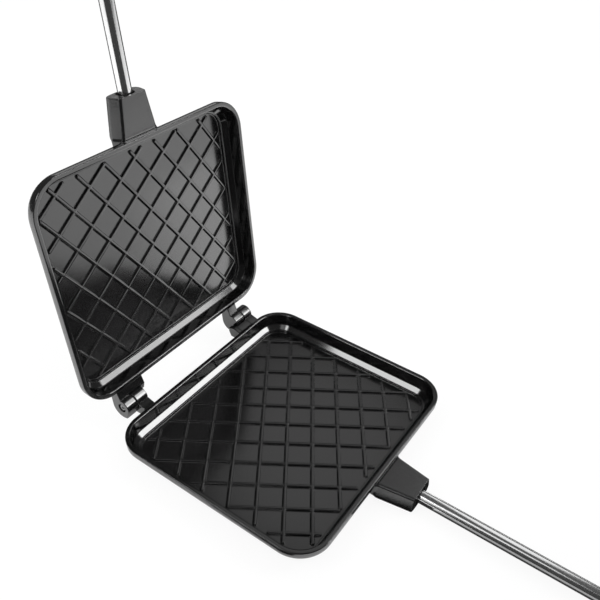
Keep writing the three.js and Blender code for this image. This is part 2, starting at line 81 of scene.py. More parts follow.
TRAY_ROUND = {"wall": 1.4, "slope": 0.6, "ledge": 0.3, "floor": 0.4}

# Ribs
RIB_PITCH = 14.55
RIB_ANGLE = math.radians(34.2)
RIB_HEIGHT = 1.15
RIB_END_INSET = 9.8
SHORTEST_RIB = 5.0
RIB_ROOT = 0.4
RIB_HALF = {"root": 1.25, "foot": 1.12, "shoulder": 0.78}
RIB_FOOT_RISE = 0.1
RIB_CROWN = 0.06
RIB_ROUND = {"foot": 0.25, "shoulder": 0.5}
RIB_TIP = 0.02
RIB_LIFT = 0.02

# Hinge
AXIS_Y = HALF_LENGTH + 10.0
RISE = 1.3
AXIS_Z = PAN_DEPTH + RISE
OPEN_ANGLE = math.radians(97.1)
STOP_FLAT = math.radians(115)
KNUCKLE = 5.2
LUG = 7.3
FIT = 0.3
ROOT_FORWARD = 12.3
SETBACK = 10.0
LUG_EDGE = 0.45
FLAT_MIDDLE = math.radians(48)
FLAT_HALF = math.radians(14)
OUTER_X = (48.7, 55.9)
INNER_X = (40.5, 48.3)
CHEEK_X = (36.7, 40.1)
PIN_RADIUS = 1.8
PIN_BORE = 1.0
PIN_SLIT = 0.7
PIN_X = (41.6, 55.4)
RECESS_RADIUS = 2.8
RECESS_LENGTH = 2.0
LONG_BORE = 20.0
OVERLAP = 1.0
CHEEK_REACH = 1.3
CHEEK_CHAMFER = {"forward": 1.8, "back": 3.6}

# Socket and rod
ROD_Z = 5.8
ROD_RADIUS = 3.7
TUBE_WALL = 0.8
SOCKET_TOP = PAN_DEPTH - 3.1
SOCKET_END_Y = -HALF_LENGTH - 20.8
SOCKET_BORE_DEPTH = 17.5
MOUTH_RADIUS = 4.8
MOUTH_DEPTH = 1.3
SOCKET_PIN_Y = SOCKET_END_Y + 9.0
SOCKET_PIN_RADIUS = 1.5
SOCKET_PIN_BORE = 0.8
SOCKET_PIN_SLIT = 0.6
SOCKET_PIN_FOOT = 0.7
PIN_EASE = 0.25
SOCKET_ROOT = (11.3, 13.4)
SOCKET_END = (8.6, 10.3)
SOCKET_UNDERSIDE = 0.3
SOCKET_LIFT = 5.0
SOCKET_REACH = {"face": 1.4, "back": 2.8}
# Half width at the top, half width at the side, underside, distance from the pan or from the end's edge
SOCKET_FILLET = (0.35, 0.15, 0.6, 0.9)
SOCKET_LIP = (8.45, 10.15, 0.45, 0.35)
SOCKET_FACE = (8.1, 9.8, 0.8)
MOUTH_EASE = 0.2
MOUTH_TAPER = 0.1
SOCKET_FLARE = 1.0
SOCKET_FLARE_LENGTH = 1.8
SOCKET_EDGE = 0.5
SOCKET_CORNER = 1.8
SOCKET_BACK_POWER = 0.6
TUBE_EASE = 0.15

# Grip
BARE_ROD = 104.0
ROD_IN_GRIP = 80.0
GRIP_FRONT_Y = SOCKET_END_Y - BARE_ROD
GRIP_LENGTH = 118.0
GRIP_DROP = 0.3
GRIP_TOP = PAN_DEPTH - GRIP_DROP
GRIP_HALF = 12.4
GRIP_BOTTOM = 0.4
GRIP_EDGE = 1.2
BAIL_DROP = 7.0
BAIL_Z = GRIP_TOP - BAIL_DROP
TAIL_RADIUS = 2 * AXIS_Z - BAIL_Z - GRIP_BOTTOM
TAIL_LENGTH = math.sqrt(TAIL_RADIUS ** 2 - (2 * AXIS_Z - BAIL_Z - GRIP_TOP) ** 2)
BAIL_Y = GRIP_FRONT_Y - GRIP_LENGTH + TAIL_LENGTH
SCREW_Y = (GRIP_FRONT_Y - 22.0, GRIP_FRONT_Y - 58.0)
SCREW_HEAD = 3.1
SCREW_HEIGHT = 1.8
SCREW_SINK = 0.3
SCREW_RADIUS = 1.6
SCREW_CROWN = 0.75
SCREW_PAST_AXIS = 1.6
# Half width, half length and depth of a slot of the cross
SCREW_CROSS = (0.4, 2.0, 0.9)
HANG_Y = GRIP_FRONT_Y - GRIP_LENGTH + 11.0
HANG_RADIUS = 4.4
HANG_CUT = 30.0
# Distance from the front, share of the half width, rise of the underside, drop of the flat
GRIP_FRONT = [(0.0, 0.56, 2.2, 1.0), (0.35, 0.61, 1.2, 0.35), (1.1, 0.66, 0.6, 0.0)]
FERRULE_RADIUS = 5.5
FERRULE_LENGTH = 3.0
FERRULE_EASE = 0.4
SPIGOT_RADIUS = 4.7
SPIGOT_LENGTH = 4.0

# Bail
WIRE = 1.2
WIRE_EASE = 0.3
BAIL_STUB = 5.0
BAIL_BENDS = [2.4, 3.0, 3.0, 2.4]
BAIL_LEG = TAIL_RADIUS + FIT + WIRE
BAIL_REST = math.asin((BAIL_Z - WIRE - FIT) / BAIL_LEG)

HINGE_CENTRE = Vector((0, AXIS_Y, AXIS_Z)) * MM
OPENED = (
    Matrix.Translation(HINGE_CENTRE)
    @ Matrix.Rotation(-OPEN_ANGLE, 4, "X")
    @ Matrix.Rotation(math.pi, 4, "Y")
    @ Matrix.Translation(-HINGE_CENTRE)
)


# Shader values that can be added, multiplied and so on

class Value:
    """One output of a shader node; arithmetic on it adds Math nodes."""

    def __init__(self, finish, socket):
        self.finish = finish
        self.socket = socket

    def math(self, operation, *others):
        return self.finish.node("ShaderNodeMath", {"operation": operation}, (self, *others))

    def __add__(self, other):
        return self.math("ADD", other)

    def __mul__(self, other):
        return self.math("MULTIPLY", other)

    def __sub__(self, other):
        return self.math("SUBTRACT", other)

    def __rsub__(self, other):
        return self.finish.node("ShaderNodeMath", {"operation": "SUBTRACT"}, (other, self))

    __radd__ = __add__
    __rmul__ = __mul__


class Finish:
    """A material, or the world, under construction."""

    def __init__(self, owner):
        owner.use_nodes = True
        self.owner = owner
        self.tree = owner.node_tree
        self.tree.nodes.clear()

    def node(self, kind, settings=None, values=(), output=0):
        """One output of a new node, after its settings and then its inputs are given."""
        made = self.tree.nodes.new(kind)
        for name, setting in (settings or {}).items():
            setattr(made, name, setting)
        pairs = values.items() if isinstance(values, dict) else enumerate(values)
        for key, value in pairs:
            socket = made.inputs[key]
            if isinstance(value, Value):
                self.tree.links.new(value.socket, socket)
            else:
                socket.default_value = value
        return Value(self, made.outputs[output]) if made.outputs else None

    def noise(self, place, scale, detail, roughness=0.5):
        values = {"Vector": place, "Scale": scale, "Detail": detail, "Roughness": roughness}
        return self.node("ShaderNodeTexNoise", None, values)

    def stretched(self, place, scales):
        return self.node("ShaderNodeVectorMath", {"operation": "MULTIPLY"}, (place, scales))

    def between(self, factor, first, second):
        """A colour that goes from first to second."""
        values = {"Factor": factor, "A": first, "B": second}
        return self.node("ShaderNodeMix", {"data_type": "RGBA"}, values, "Result")

    def rounded(self, radius):
        """Normals that turn round the sharp edges as a real edge does."""
        return self.node("ShaderNodeBevel", {"samples": 4}, {"Radius": radius})

    def edges(self, normal):
        """One along the edges and nothing on the flats."""
        flat = self.node("ShaderNodeNewGeometry", output="Normal")
        dot = self.node("ShaderNodeVectorMath", {"operation": "DOT_PRODUCT"}, (normal, flat), "Value")
        return ((1 - dot) * 6.0).math("MINIMUM", 1.0)

    def part(self, vector, axis):
        return self.node("ShaderNodeSeparateXYZ", None, (vector,), axis)

    def step(self, value, start, end):
        """Goes from 0 to 1 while value goes from start to end."""
        values = {"Value": value, "From Min": start, "From Max": end, "To Min": 0.0, "To Max": 1.0}
        return self.node("ShaderNodeMapRange", {"clamp": True}, values)

    def place(self):
        return self.node("ShaderNodeTexCoord", output="Object")

    def bump(self, height, distance, normal):
        values = {"Strength": 1.0, "Distance": distance, "Height": height, "Normal": normal}
        return self.node("ShaderNodeBump", None, values)

    def surface(self, shader):
        is_world = isinstance(self.owner, bpy.types.World)
        kind = "ShaderNodeOutputWorld" if is_world else "ShaderNodeOutputMaterial"
        self.node(kind, None, {"Surface": shader})
        return self.owner


def grey(level):
    return (level, level, level, 1)


def coating():
    """Glossy black non-stick coating on a sand-cast surface."""
    f = Finish(bpy.data.materials.new("black_coating"))
    place = f.place()
    soft = f.rounded(0.00035)
    paler_edges = f.edges(soft)
    blotch = f.noise(place, 55.0, 3.0)
    smear = f.noise(f.stretched(place, (18.0, 60.0, 60.0)), 1.0, 2.0)
    grain = f.noise(place, 5200.0, 2.0, 0.6)
    ripple = f.noise(place, 420.0, 2.0)
    dark = f.between(blotch, (0.0015, 0.0015, 0.0016, 1), (0.003, 0.003, 0.0031, 1))
    # One from the tray's ledge down, and one on the socket
    low = f.step(f.part(place, "Z"), 0.0054, 0.0046)
    cast = f.step(f.part(place, "Y"), -HALF_LENGTH * MM - 0.0008, -HALF_LENGTH * MM - 0.0016)
    sand = f.noise(place, 1500.0, 3.0, 0.6)
    # Painted highlight: the edges are painted paler, most on the socket; this is partly wear and partly a
    # painted glint along the rounded edges.
    colour = f.between(paler_edges * (0.2 + 0.8 * cast), dark, grey(0.1))
    gloss = 0.07 + 0.04 * low + 0.04 * blotch + 0.03 * smear + 0.03 * grain + 0.1 * cast
    skin = f.bump(ripple, 0.000006, soft)
    skin = f.bump(grain, 0.000003, skin)
    skin = f.bump(sand * cast, 0.00006, skin)
    shader = f.node("ShaderNodeBsdfPrincipled", None, {
        "Base Color": colour, "Roughness": gloss, "IOR": 1.95, "Normal": skin,
    })
    return f.surface(shader)


def steel(name, level, gloss, streaks, lengthwise):
    """Bright drawn steel, with fine marks along its length."""
    f = Finish(bpy.data.materials.new(name))
    place = f.place()
    drawn = f.noise(f.stretched(place, lengthwise), 1.0, 3.0, 0.6)
    cloud = f.noise(place, 90.0, 2.0)
    soft = f.rounded(0.0003)
    light = f.between(drawn, (level * 0.93, level * 0.935, level * 0.94, 1), (level, level, level, 1))
    rough = gloss + 0.06 * drawn + 0.05 * cloud
    skin = f.bump(drawn, streaks, soft)
    shader = f.node("ShaderNodeBsdfPrincipled", None, {
        "Base Color": light, "Metallic": 1.0, "Roughness": rough, "Normal": skin,
    })
    return f.surface(shader)


def phenolic():
    """Satin black moulded grip with a faint flow texture and rubbed edges."""
    f = Finish(bpy.data.materials.new("black_phenolic"))
    place = f.place()
    soft = f.rounded(0.0005)
    paler_edges = f.edges(soft)
    flow = f.noise(f.stretched(place, (120.0, 25.0, 120.0)), 1.0, 4.0, 0.6)
    grain = f.noise(place, 2600.0, 3.0, 0.6)
    dark = f.between(flow, (0.012, 0.012, 0.0125, 1), (0.02, 0.02, 0.0205, 1))
    colour = f.between(paler_edges * 0.5, dark, grey(0.05))
    rough = 0.36 + 0.08 * flow + 0.08 * grain
    skin = f.bump(grain, 0.00002, soft)
    shader = f.node("ShaderNodeBsdfPrincipled", None, {
        "Base Color": colour, "Roughness": rough, "IOR": 1.55, "Normal": skin,
    })
    return f.surface(shader)


BLACK = coating()
BRIGHT = steel("bright_steel", 0.86, 0.09, 0.000004, (2500.0, 18.0, 2500.0))
PLAIN = steel("pin_steel", 0.6, 0.24, 0.000006, (900.0, 900.0, 900.0))
GRIP = phenolic()


# Mesh tools

def in_scene(name, data):
    """A new object in the scene."""
    made = bpy.data.objects.new(name, data)
    bpy.context.scene.collection.objects.link(made)
    return made


class Shell:
    """Points in millimetres and the faces over them; several closed skins may be gathered in one."""

    def __init__(self):
        self.points = []
        self.faces = []

    def loft(self, rings, caps=(True, True)):
        """A skin over rings of points, turned outwards."""
        count = len(rings[0])
        base = len(self.points)
        for ring in rings:
            self.points.extend(ring)
        for i in range(len(rings) - 1):
            for j in range(count):
                k = (j + 1) % count
                a, b = base + i * count, base + (i + 1) * count
                self.faces.append((a + j, a + k, b + k, b + j))
        if caps[0]:
            self.faces.append(tuple(base + j for j in reversed(range(count))))
        if caps[1]:
            last = base + (len(rings) - 1) * count
            self.faces.append(tuple(last + j for j in range(count)))
        return self

    def mesh(self, name):
        data = bpy.data.meshes.new(name)
        data.from_pydata([tuple(c * MM for c in p) for p in self.points], [], self.faces)
        made = bmesh.new()
        made.from_mesh(data)
        bmesh.ops.recalc_face_normals(made, faces=made.faces)
        made.to_mesh(data)
        made.free()
        return data


def round_corners(points, steps):
    """A polyline whose inner points carry a radius: (across, up, radius)."""
    made = [points[0][:2]]
    for before, here, after in zip(points, points[1:], points[2:]):
        corner, radius = Vector(here[:2]), here[2]
        back, ahead = (Vector(before[:2]) - corner), (Vector(after[:2]) - corner)
        if radius == 0:
            made.append(tuple(corner))
            continue
        half = back.angle(ahead) / 2
        reach = radius / math.tan(half)
        start = corner + back.normalized() * reach
        end = corner + ahead.normalized() * reach
        centre = corner + (back.normalized() + ahead.normalized()).normalized() * (radius / math.sin(half))
        for i in range(steps + 1):
            share = i / steps
            point = start.lerp(end, share) - centre
            made.append(tuple(centre + point.normalized() * radius))
    made.append(points[-1][:2])
    return made


def circle(radius, centre, axis, sides):
    """Points round a centre, in a plane across an axis."""
    made = []
    for i in range(sides):
        a = 2 * math.pi * i / sides
        c, s = radius * math.cos(a), radius * math.sin(a)
        offset = {"x": (0, c, s), "y": (c, 0, s), "z": (c, s, 0)}[axis]
        made.append(tuple(centre[k] + offset[k] for k in range(3)))
    return made


def turned(profile, axis, centre, sides):
    """A closed skin turned about an axis from a closed loop of (radius, along)."""
    along = {"x": 0, "y": 1, "z": 2}[axis]
    rings = []
    for radius, run in profile:
        place = list(centre)
        place[along] += run
        rings.append(circle(max(radius, 0.001), place, axis, sides))
    return rings


def rod_shape(radius, length, axis, centre, sides=48):
    """A plain round bar used to cut a hole; centre is its middle."""
    return Shell().loft(turned([(radius, -length / 2), (radius, length / 2)], axis, centre, sides))


def cut(data, tools):
    """The mesh less the closed shapes in tools."""
    body = in_scene("body", data)
    for i, tool in enumerate(tools):
        other = in_scene(f"tool{i}", tool.mesh(f"tool{i}"))
        step = body.modifiers.new("cut", "BOOLEAN")
        step.operation, step.solver, step.object = "DIFFERENCE", "EXACT", other
    graph = bpy.context.evaluated_depsgraph_get()
    result = bpy.data.meshes.new_from_object(body.evaluated_get(graph))
    for o in [body, *[m.object for m in body.modifiers]]:
        bpy.data.objects.remove(o)
    return result


def welded(data):
    """The mesh with the points that coincide made one."""
    made = bmesh.new()
    made.from_mesh(data)
    bmesh.ops.remove_doubles(made, verts=made.verts, dist=SAME_POINT)
    bmesh.ops.recalc_face_normals(made, faces=made.faces)
    made.to_mesh(data)
    made.free()
    return data


def joined(name, meshes):
    """One mesh from several."""
    made = bmesh.new()
    for data in meshes:
        made.from_mesh(data)
    result = bpy.data.meshes.new(name)
    made.to_mesh(result)
    made.free()
    return result


def piece(name, data, material, body, nodes, place=None):
    """A finished piece that stands for CAD nodes and rides on their body."""
    data.shade_smooth()
    data.set_sharp_from_angle(angle=SHARP_ANGLE)
    data.materials.clear()
    data.materials.append(material)
    made = in_scene(name, data)
    made.matrix_world = place or Matrix.Identity(4)
    made.modifiers.new("even_normals", "WEIGHTED_NORMAL").keep_sharp = True
    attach(made, body)
    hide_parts(*nodes)


# Pan casting

def pan_ring(inset, z):
    """Rounded rectangle inside the rim's outline."""
    radius = max(CORNER_RADIUS - inset, SMALLEST_CORNER)
    across, along = HALF_WIDTH - inset - radius, HALF_LENGTH - inset - radius
    ring = []
    for turn, (sx, sy) in enumerate([(1, 1), (-1, 1), (-1, -1), (1, -1)]):
        for i in range(CORNER_STEPS + 1):
            a = (turn + i / CORNER_STEPS) * math.pi / 2
            ring.append((sx * across + radius * math.cos(a), sy * along + radius * math.sin(a), z))
        end = Vector(ring[-1])
        nx, ny = [(-1, 1), (-1, -1), (1, -1), (1, 1)][turn]
        a = (turn + 1) * math.pi / 2
        start = Vector((nx * across + radius * math.cos(a), ny * along + radius * math.sin(a), z))
        ring.extend(tuple(end.lerp(start, i / SIDE_STEPS)) for i in range(1, SIDE_STEPS))
    return ring


def pan_profile():
    """Inset and height from the underside, over the rim, to the edge of the floor."""
    wall = []
    start = Vector((FOOT_INSET, 0))
    pull = Vector((BAND_STEP + BAND_FOOT * math.tan(WALL_SLOPE), 0))
    end = Vector((BAND_STEP, BAND_FOOT))
    for i in range(WALL_STEPS + 1):
        t = i / WALL_STEPS
        p = start * (1 - t) ** 2 + pull * 2 * t * (1 - t) + end * t ** 2
        wall.append((p.x, p.y))
    wall_foot = WALL_TOP + (PAN_DEPTH - RIM_EDGE_DEPTH - SLOPE_TOP_Z) * math.tan(INNER_DRAFT)
    slope_foot = wall_foot + (SLOPE_TOP_Z - LEDGE_Z) / math.tan(SLOPE)
    ledge_end = slope_foot + LEDGE_WIDTH
    rim = round_corners([
        (*wall[-1], 0),
        (BAND_STEP, STEP_Z - STEP_RISE, STEP_ROUND["low"]),
        (0, STEP_Z, STEP_ROUND["high"]),
        (0, PAN_DEPTH, RIM_ROUND["outer"]),
        (RIM_INNER, PAN_DEPTH, RIM_ROUND["inner"]),
        (wall_foot, SLOPE_TOP_Z, TRAY_ROUND["wall"]),
        (slope_foot, LEDGE_Z, TRAY_ROUND["slope"]),
        (ledge_end, LEDGE_Z, TRAY_ROUND["ledge"]),
        (ledge_end + STEP_RUN, FLOOR_Z, TRAY_ROUND["floor"]),
        (ledge_end + FLOOR_EDGE, FLOOR_Z, 0),
    ], 7)
    return wall + rim[1:]


def body_mesh():
    rings = [pan_ring(inset, z) for inset, z in pan_profile()]
    return Shell().loft(rings).mesh("casting")


def rib_span(offset, along):
    """Where a line through offset enters and leaves the outline that the ribs end at."""
    outline = [Vector(p[:2]) for p in pan_ring(RIB_END_INSET, 0)]
    low, high = -FAR_AWAY, FAR_AWAY
    for a, b in zip(outline, outline[1:] + outline[:1]):
        normal = Vector((a.y - b.y, b.x - a.x))
        ahead = normal.dot(along)
        inside = normal.dot(offset - a)
        if abs(ahead) < PARALLEL:
            continue
        if ahead > 0:
            low = max(low, -inside / ahead)
        else:
            high = min(high, -inside / ahead)
    return low, high


def rib_section(lift):
    """Half of a rib's section as distance from the middle and height, from root to crown."""
    top = FLOOR_Z + RIB_HEIGHT + lift
    return round_corners([
        (RIB_HALF["root"], FLOOR_Z - RIB_ROOT, 0),
        (RIB_HALF["foot"], FLOOR_Z + RIB_FOOT_RISE, RIB_ROUND["foot"]),
        (RIB_HALF["shoulder"], top - RIB_CROWN, RIB_ROUND["shoulder"]),
        (0.0, top, 0),
    ], 4)


def rib_shell(shell, start, end, lift):
    """A ridge with round ends from start to end."""
    along = (end - start).normalized()
    across = Vector((-along.y, along.x))
    turns = 10
    rings = []
    for reach, z in rib_section(lift):
        ring = []
        for centre, side in ((end, 1), (start, -1)):
            for i in range(turns + 1):
                a = -math.pi / 2 + math.pi * i / turns
                out = along * math.cos(a) + across * math.sin(a)
                p = centre + out * side * max(reach, RIB_TIP)
                ring.append((p.x, p.y, z))
        rings.append(ring)
    shell.loft(rings)


def ribs_mesh():
    shell = Shell()
    count = math.ceil(math.hypot(HALF_WIDTH, HALF_LENGTH) / RIB_PITCH)
    for family, angle in enumerate((RIB_ANGLE, RIB_ANGLE - math.pi / 2)):
        along = Vector((math.cos(angle), math.sin(angle)))
        across = Vector((-along.y, along.x))
        for i in range(-count, count + 1):
            foot = across * (i * RIB_PITCH)
            low, high = rib_span(foot, along)
            if high - low >= SHORTEST_RIB:
                rib_shell(shell, foot + along * low, foot + along * high, RIB_LIFT * family)
    return shell.mesh("ribs")


# Hinge lugs; a section is drawn as forward, towards the pan, and back, away from the open side

def polar(radius, angle):
    return (radius * math.cos(angle), radius * math.sin(angle))


def arc(radius, start, end, steps):
    return [polar(radius, start + (end - start) * i / steps) for i in range(steps + 1)]


def barrel(end, steps):
    """Outline of the knuckle from its front over the top, with the cast flat on its front."""
    before, after = FLAT_HALF - FLAT_MIDDLE, -FLAT_HALF - FLAT_MIDDLE
    return [*arc(KNUCKLE, 0, before, 5), *arc(KNUCKLE, after, end, steps)]


LUG_FACE = [(ROOT_FORWARD, RISE), (SETBACK, RISE)]


def plain_section():
    blend = []
    steps = 12
    for i in range(steps):
        a = math.pi - (i + 1) / steps * math.pi / 2
        blend.append((KNUCKLE * math.cos(a), LUG * math.sin(a)))
    return [*LUG_FACE, *barrel(-math.pi, 20), *blend, (ROOT_FORWARD, LUG)]


def stop_section():
    corner = STOP_FLAT + math.acos(KNUCKLE / LUG)
    sector = arc(LUG, 2 * math.pi - corner, math.pi / 2, 16)
    return [*LUG_FACE, *barrel(-STOP_FLAT, 12), *sector, (ROOT_FORWARD, LUG)]


def web_section():
    hollow = KNUCKLE + FIT
    gap = FIT / 2
    tilt = STOP_FLAT - OPEN_ANGLE
    slide = (LUG - hollow * math.sin(tilt)) / math.cos(tilt)
    end = (hollow * math.cos(tilt) - slide * math.sin(tilt), LUG)
    face_end = KNUCKLE + (SETBACK - KNUCKLE) * gap / RISE
    return [*LUG_FACE, (face_end, gap), polar(hollow, tilt), end, (ROOT_FORWARD, LUG)]


def cheek_section():
    return [
        *LUG_FACE,
        (KNUCKLE, 0),
        (CHEEK_REACH, RISE),
        (CHEEK_REACH, LUG - CHEEK_CHAMFER["back"]),
        (CHEEK_REACH + CHEEK_CHAMFER["forward"], LUG),
        (ROOT_FORWARD, LUG),
    ]


def lug_mesh(section, low, high):
    """A section drawn out along x with its edges rounded over."""
    data = bpy.data.meshes.new("lug")
    made = bmesh.new()
    ring = [made.verts.new((low, AXIS_Y - f, AXIS_Z - b)) for f, b in section]
    face = made.faces.new(ring)
    out = bmesh.ops.extrude_face_region(made, geom=[face])
    new = [v for v in out["geom"] if isinstance(v, bmesh.types.BMVert)]
    bmesh.ops.translate(made, verts=new, vec=(high - low, 0, 0))
    bmesh.ops.recalc_face_normals(made, faces=made.faces)
    caps = [e for e in made.edges if abs(e.verts[0].co.x - e.verts[1].co.x) < SAME_X]
    bmesh.ops.bevel(made, geom=caps, offset=LUG_EDGE, segments=4, profile=0.5, affect="EDGES")
    bmesh.ops.scale(made, vec=(MM, MM, MM), verts=made.verts)
    bmesh.ops.recalc_face_normals(made, faces=made.faces)
    made.to_mesh(data)
    made.free()
    return data


def hinge_meshes(section):
    centre = (0, AXIS_Y, AXIS_Z)
    blind_middle = -PIN_X[0] + FIT - LONG_BORE / 2
    bore = rod_shape(PIN_RADIUS + FIT, LONG_BORE, "x", ((OUTER_X[0] + OUTER_X[1]) / 2, *centre[1:]))
    recess = rod_shape(RECESS_RADIUS, RECESS_LENGTH, "x", (OUTER_X[1], *centre[1:]))
    blind = rod_shape(PIN_RADIUS + FIT, LONG_BORE, "x", (blind_middle, *centre[1:]))
    outer = cut(lug_mesh(section, *OUTER_X), [bore, recess])
    inner = cut(lug_mesh(section, -INNER_X[1], -INNER_X[0]), [blind])
    web = lug_mesh(web_section(), CHEEK_X[1] - OVERLAP, OUTER_X[0] + OVERLAP)
    cheek = lug_mesh(cheek_section(), *CHEEK_X)
    return [outer, inner, web, cheek]


# Socket

def socket_ring(half_top, half_side, bottom, place_y):
    """Flat-faced section with a round back, as points round it."""
    back = []
    steps, power = 28, SOCKET_BACK_POWER
    for i in range(steps + 1):
        a = i * math.pi / steps
        c = math.copysign(abs(math.cos(a)) ** power, math.cos(a))
        back.append((-half_side * c, ROD_Z - (ROD_Z - bottom) * math.sin(a) ** power))
    face = round_corners([
        (half_side, ROD_Z, 0),
        (half_top, SOCKET_TOP, SOCKET_CORNER),
        (-half_top, SOCKET_TOP, SOCKET_CORNER),
        (-half_side, ROD_Z, 0),
    ], 7)
    flat = face[1:-1]
    middle = [(half_top * (1 - 2 * i / 8) * 0.8, SOCKET_TOP) for i in range(9)]
    half = len(flat) // 2
    outline = [face[0], *flat[:half], *middle, *flat[half:], *back[:-1]]
    return [(x, place_y(z), z) for x, z in outline]


def socket_mesh():
    top, side = SOCKET_ROOT
    lift = SOCKET_LIFT

    def root(z):
        drop = (SOCKET_TOP - z) / (SOCKET_TOP - lift)
        return -HALF_LENGTH + SOCKET_REACH["face"] + SOCKET_REACH["back"] * drop

    def flat(y):
        return lambda z: y

    def at(share, y):
        wide = top + (SOCKET_END[0] - top) * share
        deep = side + (SOCKET_END[1] - side) * share
        return socket_ring(wide, deep, SOCKET_UNDERSIDE, flat(y))

    start_y, end_y = -HALF_LENGTH - SOCKET_FLARE_LENGTH, SOCKET_END_Y + SOCKET_EDGE
    flared = top + SOCKET_FLARE
    more_top, more_side, fillet_bottom, fillet_run = SOCKET_FILLET
    rings = [
        socket_ring(flared, side + SOCKET_FLARE, lift, root),
        socket_ring(flared, side + SOCKET_FLARE / 2, lift / 2, flat(-HALF_LENGTH)),
        socket_ring(top + more_top, side + more_side, fillet_bottom, flat(-HALF_LENGTH - fillet_run)),
        at(0.0, start_y),
        at(0.5, (start_y + end_y) / 2),
        at(1.0, end_y),
        socket_ring(*SOCKET_LIP[:3], flat(end_y - SOCKET_LIP[3])),
        socket_ring(*SOCKET_FACE, flat(SOCKET_END_Y)),
    ]
    outer = rings[-1]
    mouth = []
    steps = (
        (MOUTH_RADIUS + MOUTH_EASE, 0.0),
        (MOUTH_RADIUS, MOUTH_EASE),
        (MOUTH_RADIUS - MOUTH_TAPER, MOUTH_DEPTH),
        (ROD_RADIUS + FIT, MOUTH_DEPTH),
        (ROD_RADIUS + FIT, SOCKET_BORE_DEPTH),
    )
    for radius, depth in steps:
        ring = []
        for x, _y, z in outer:
            a = math.atan2(z - ROD_Z, x)
            ring.append((radius * math.cos(a), SOCKET_END_Y + depth, ROD_Z + radius * math.sin(a)))
        mouth.append(ring)
    data = Shell().loft(rings + mouth).mesh("socket")
    hole_middle = (0, SOCKET_PIN_Y, (ROD_Z - OVERLAP) / 2)
    return cut(data, [rod_shape(SOCKET_PIN_RADIUS + FIT, ROD_Z + OVERLAP, "z", hole_middle)])


def pan_piece(name, section, body, place):
    meshes = [body_mesh(), ribs_mesh(), socket_mesh(), *hinge_meshes(section)]
    nodes = [name.replace("_casting", "_pan")]
    piece(name, joined(name, meshes), BLACK, body, nodes, place)


# Pins

def pin_rings(radius, bore, slit, low, high):
    """Rolled spring pin along its own axis: a split tube with eased ends."""
    def section(out, inner, run):
        a, b = math.asin(slit / 2 / out), math.asin(slit / 2 / inner)
        round_out = arc(out, a, 2 * math.pi - a, 30)
        round_in = arc(inner, 2 * math.pi - b, b, 30)
        return [(c, s, run) for c, s in round_out + round_in]

    ease = PIN_EASE
    return [
        section(radius - ease, bore + ease / 2, low),
        section(radius, bore, low + ease),
        section(radius, bore, high - ease),
        section(radius - ease, bore + ease / 2, high),
    ]


def hinge_pin_mesh():
    rings = pin_rings(PIN_RADIUS, PIN_BORE, PIN_SLIT, *PIN_X)
    placed = [[(run, AXIS_Y + s, AXIS_Z + c) for c, s, run in ring] for ring in rings]
    return Shell().loft(placed).mesh("hinge_pin")


def socket_pin_mesh():
    rings = pin_rings(
        SOCKET_PIN_RADIUS, SOCKET_PIN_BORE, SOCKET_PIN_SLIT, SOCKET_PIN_FOOT, ROD_Z - FIT)
    placed = [[(c, SOCKET_PIN_Y + s, run) for c, s, run in ring] for ring in rings]
    return Shell().loft(placed).mesh("socket_pin")


# Tube, ferrule and grip

def rod_mesh():
    start, end = SOCKET_END_Y + SOCKET_BORE_DEPTH - FIT, GRIP_FRONT_Y - ROD_IN_GRIP
    inner = ROD_RADIUS - TUBE_WALL
    ease = TUBE_EASE
    loop = [
        (inner, end), (ROD_RADIUS - ease, end), (ROD_RADIUS, end + ease),
        (ROD_RADIUS, start - ease), (ROD_RADIUS - ease, start), (inner, start), (inner, end),
    ]
    shell = Shell().loft(turned(loop, "y", (0, 0, ROD_Z), 96), (False, False))
    data = welded(shell.mesh("tube"))
    under, over = ROD_Z - ROD_RADIUS, ROD_Z + ROD_RADIUS
    holes = [rod_shape(SOCKET_PIN_RADIUS + FIT, ROD_RADIUS, "z", (0, SOCKET_PIN_Y, under))]
    holes += [rod_shape(SCREW_RADIUS + FIT, ROD_RADIUS, "z", (0, y, over)) for y in SCREW_Y]
    return cut(data, holes)


def ferrule_mesh():
    inner = ROD_RADIUS + FIT
    ease = FERRULE_EASE
    loop = [
        (inner, -SPIGOT_LENGTH), (SPIGOT_RADIUS, -SPIGOT_LENGTH), (SPIGOT_RADIUS, FIT),
        (FERRULE_RADIUS - ease / 3, FIT), (FERRULE_RADIUS, FIT + ease / 3),
        (FERRULE_RADIUS, FERRULE_LENGTH - ease), (FERRULE_RADIUS - ease / 3, FERRULE_LENGTH - ease / 3),
        (FERRULE_RADIUS - ease, FERRULE_LENGTH), (inner, FERRULE_LENGTH), (inner, -SPIGOT_LENGTH),
    ]
    shell = Shell().loft(turned(loop, "y", (0, GRIP_FRONT_Y, ROD_Z), 64), (False, False))
    return welded(shell.mesh("ferrule"))


GRIP_WIDTHS = [(0, 0.62), (0.02, 0.7), (0.12, 0.93), (0.35, 1.0), (0.62, 0.92), (0.85, 0.95), (1.0, 1.0)]
TAIL_WIDTHS = [(0.25, 0.99), (0.5, 0.93), (0.75, 0.78), (0.93, 0.55)]


def eased(table, x):
    """Smooth curve through the points of a table."""
    for i in range(len(table) - 1):
        (x0, y0), (x1, y1) = table[i], table[i + 1]
        if x <= x1:
            before = table[i - 1] if i else table[i]
            after = table[i + 2] if i + 2 < len(table) else table[i + 1]
            m0 = (y1 - before[1]) / (x1 - before[0])
            m1 = (after[1] - y0) / (after[0] - x0)
            h = x1 - x0
            t = (x - x0) / h
            return (
                y0 * (2 * t ** 3 - 3 * t ** 2 + 1) + m0 * h * (t ** 3 - 2 * t ** 2 + t)
                + y1 * (3 * t ** 2 - 2 * t ** 3) + m1 * h * (t ** 3 - t ** 2)
            )
    return table[-1][1]


